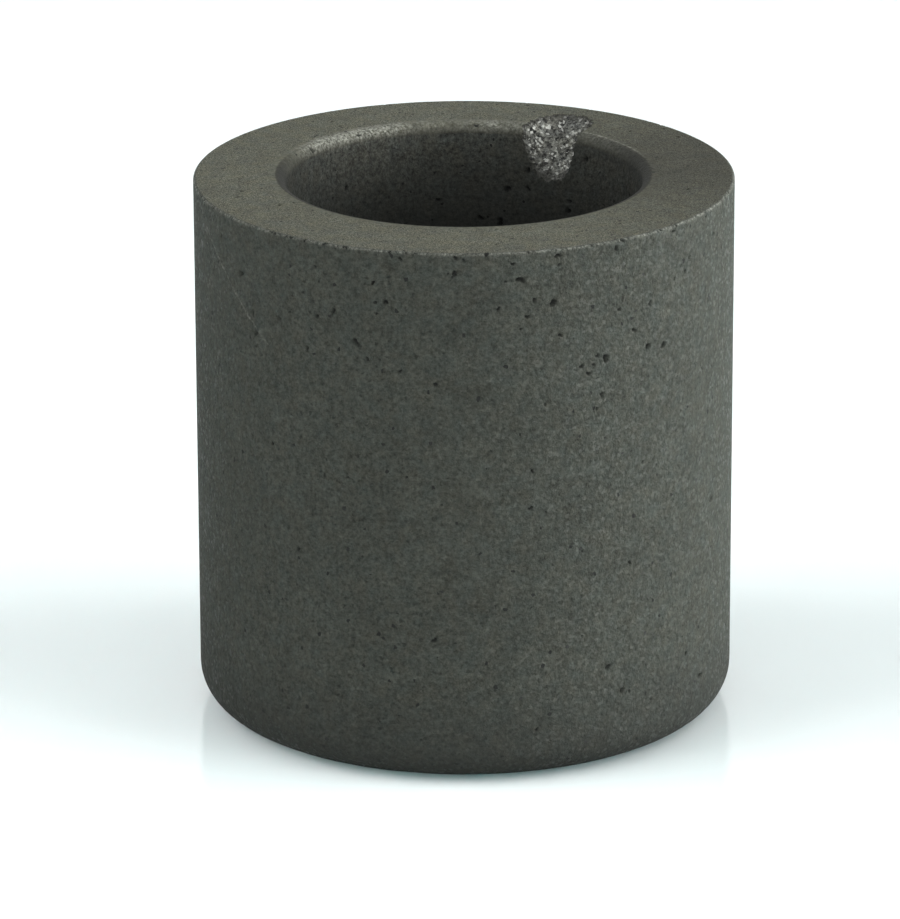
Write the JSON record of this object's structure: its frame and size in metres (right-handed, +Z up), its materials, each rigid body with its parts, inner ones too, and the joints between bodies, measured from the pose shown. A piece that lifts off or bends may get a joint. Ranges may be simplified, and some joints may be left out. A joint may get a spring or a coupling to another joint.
{
  "type": "foundry crucible",
  "caption": "Thick-walled turned graphite crucible: short cylinder with a blind round melt cavity, rounded base and mouth, and a pouring notch ground into the mouth.",
  "frame": {"origin": "middle of the flat base, on the axis of the outside cylinder", "axes": "+Z up from the base to the rim; the pouring notch lies 60.5 degrees round from +X towards +Y, and the cavity is 0.6 mm off centre towards +Y"},
  "size_m": [0.05, 0.05, 0.0508],
  "materials": {
    "graphite": "machined, matt, fine open pores"
  },
  "bodies": {
    "root": {"crucible": "graphite"}
  },
  "joints": []
}
